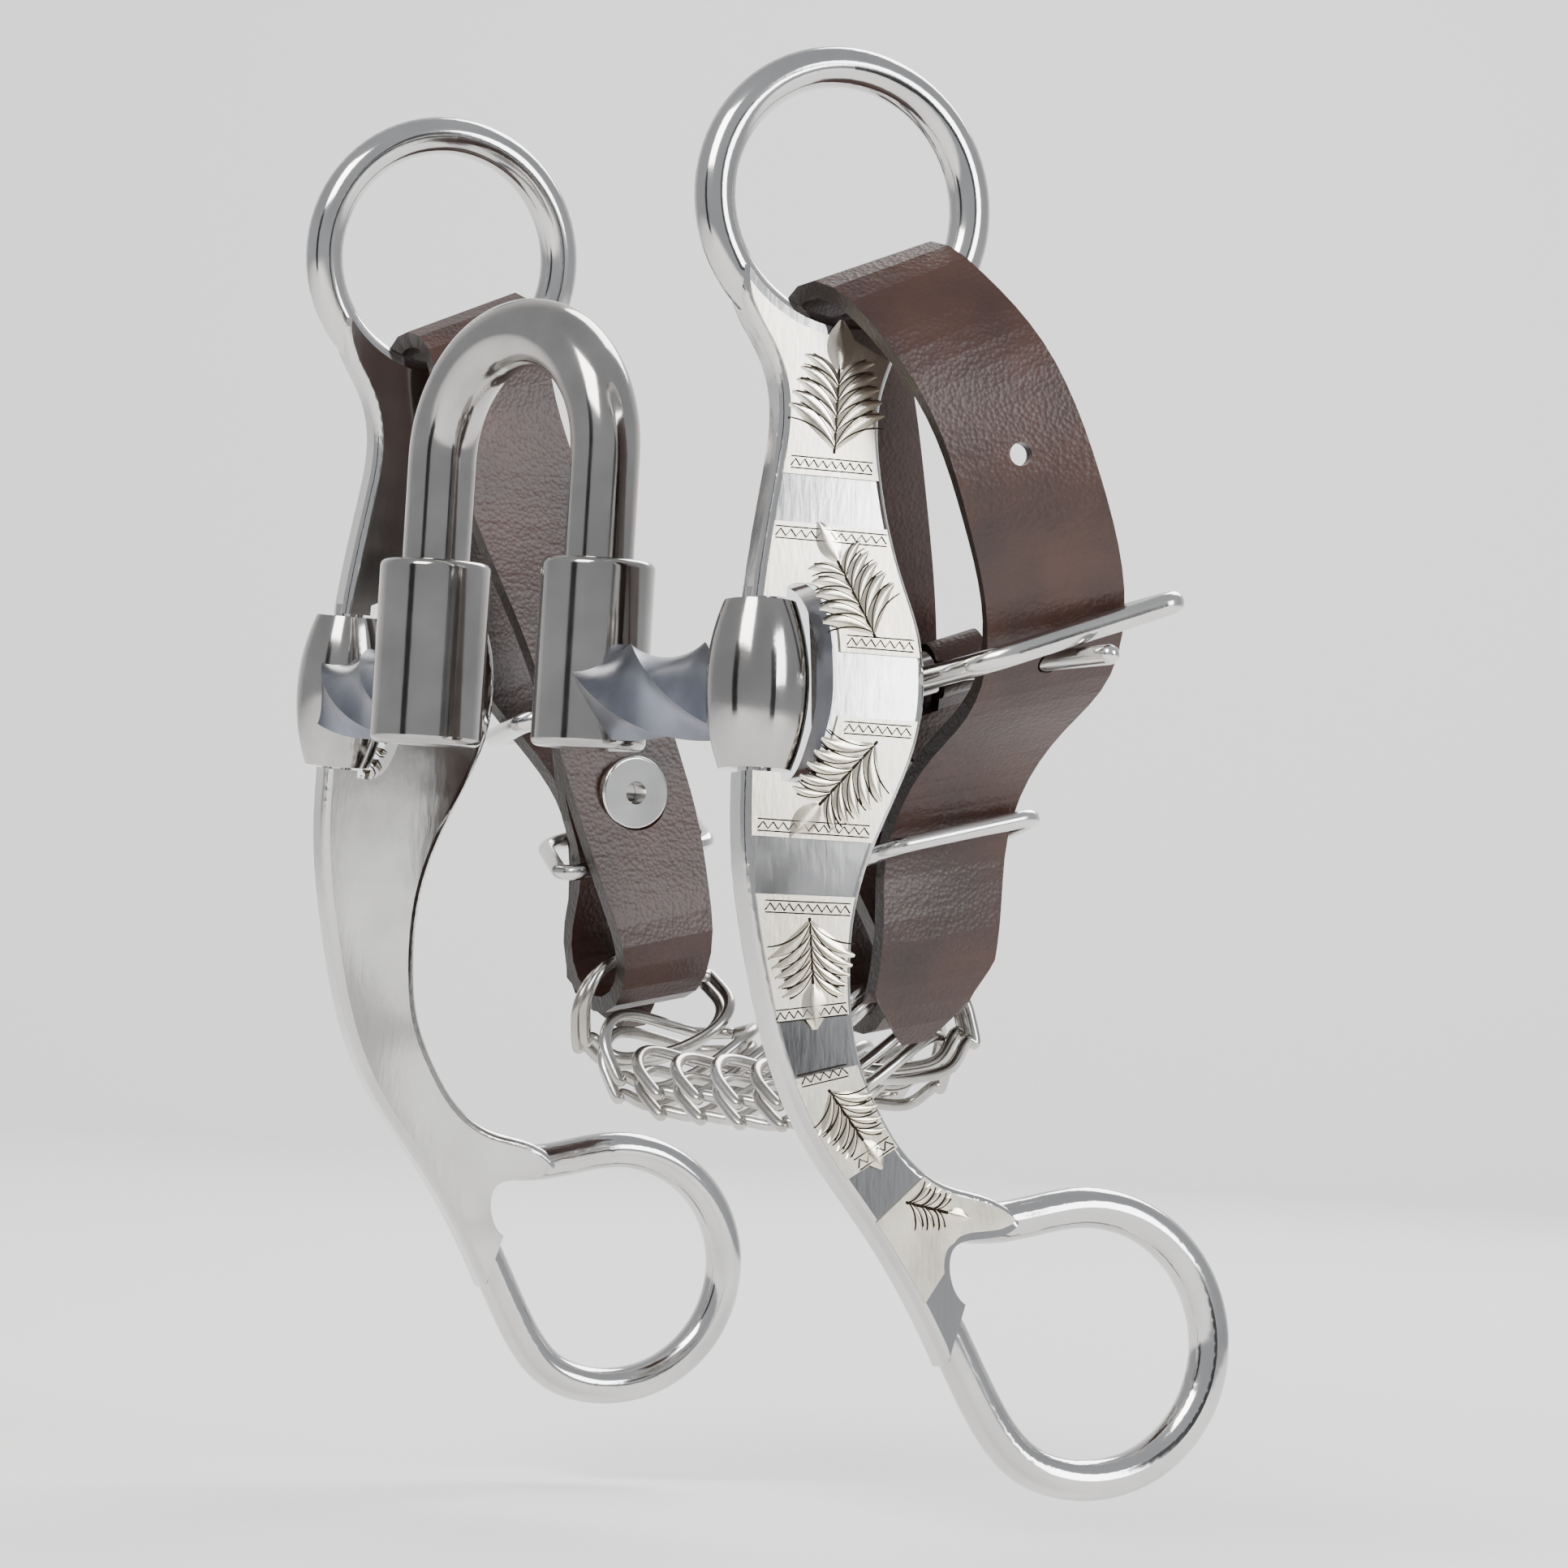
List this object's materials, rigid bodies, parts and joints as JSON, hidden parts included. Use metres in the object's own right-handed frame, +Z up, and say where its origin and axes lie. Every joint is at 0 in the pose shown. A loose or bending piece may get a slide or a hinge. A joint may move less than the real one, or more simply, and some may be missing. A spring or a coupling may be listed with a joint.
{
  "type": "curb bit",
  "caption": "Shanked curb bit with a jointed correction port mouth, engraved cheeks, headstall rings, rein loops, leather curb straps and a double-link curb chain.",
  "frame": {"origin": "middle of the line between the two shank posts, at the barrels' mid height", "axes": "+X across the mouth towards the right shank, +Y back towards the rein loops, +Z up"},
  "size_m": [0.1668, 0.095, 0.2092],
  "materials": {
    "polished_steel": "mirror polished stainless steel",
    "silver_panel": "warm engraved overlay",
    "twisted_iron": "dark satin",
    "mouth_steel": "polished, darker than the cheeks",
    "curb_leather": "fine grain, oiled brown",
    "buckle_steel": "nickel bright",
    "chain_steel": "bright wire"
  },
  "bodies": {
    "right_cheek": {"right_shank": "polished_steel", "right_panel_1": "silver_panel", "right_panel_2": "silver_panel", "right_panel_3": "silver_panel", "right_panel_4": "silver_panel", "right_panel_5": "silver_panel", "right_panel_6": "silver_panel"},
    "right_link": {"right_barrel": "mouth_steel", "right_bar": "twisted_iron", "right_sleeve": "mouth_steel"},
    "port_link": {"port": "mouth_steel", "right_end_cap": "mouth_steel", "left_end_cap": "mouth_steel"},
    "left_link": {"left_sleeve": "mouth_steel", "left_bar": "twisted_iron", "left_barrel": "mouth_steel"},
    "left_cheek": {"left_shank": "polished_steel", "left_panel_1": "silver_panel", "left_panel_2": "silver_panel", "left_panel_3": "silver_panel", "left_panel_4": "silver_panel", "left_panel_5": "silver_panel", "left_panel_6": "silver_panel"},
    "curb": {"right_strap": "curb_leather", "right_buckle_frame": "buckle_steel", "right_tongue": "buckle_steel", "right_keeper": "buckle_steel", "right_screw_post": "buckle_steel", "right_screw": "buckle_steel", "left_strap": "curb_leather", "left_buckle_frame": "buckle_steel", "left_tongue": "buckle_steel", "left_keeper": "buckle_steel", "left_screw_post": "buckle_steel", "left_screw": "buckle_steel", "chain_ring_1a": "chain_steel", "chain_ring_1b": "chain_steel", "chain_ring_2a": "chain_steel", "chain_ring_2b": "chain_steel", "chain_ring_3a": "chain_steel", "chain_ring_3b": "chain_steel", "chain_ring_4a": "chain_steel", "chain_ring_4b": "chain_steel", "chain_ring_5a": "chain_steel", "chain_ring_5b": "chain_steel", "chain_ring_6a": "chain_steel", "chain_ring_6b": "chain_steel", "chain_ring_7a": "chain_steel", "chain_ring_7b": "chain_steel", "chain_ring_8a": "chain_steel", "chain_ring_8b": "chain_steel"}
  },
  "joints": [
    {"name": "right_post_turn", "type": "hinge", "parent": "right_cheek", "child": "right_link", "pos_m": [0.0652, 0, 0], "axis": [-0.0687, 0.0121, 0.9976], "range_deg": [-8, 1.5]},
    {"name": "right_leg_turn", "type": "hinge", "parent": "right_link", "child": "port_link", "pos_m": [0.01821, -0.00082, 0.005], "axis": [0, 0, 1], "range_deg": [-1.5, 8]},
    {"name": "left_leg_turn", "type": "hinge", "parent": "port_link", "child": "left_link", "pos_m": [-0.01896, -0.00872, 0.005], "axis": [0, 0, 1], "range_deg": [-1.5, 8]},
    {"name": "left_post_turn", "type": "hinge", "parent": "left_link", "child": "left_cheek", "pos_m": [-0.06515, 0, 0], "axis": [0.0687, -0.0121, 0.9976], "range_deg": [-8, 1.5]},
    {"name": "curb_swing", "type": "hinge", "parent": "right_cheek", "child": "curb", "pos_m": [0.0645, 0.0155, 0.052], "axis": [1, 0.0097, 0], "range_deg": [0, 1]}
  ],
  "couplings": [
    {"joint": "right_leg_turn", "follows": "right_post_turn", "ratio": -1},
    {"joint": "left_leg_turn", "follows": "right_post_turn", "ratio": -1},
    {"joint": "left_post_turn", "follows": "right_post_turn", "ratio": 1}
  ]
}
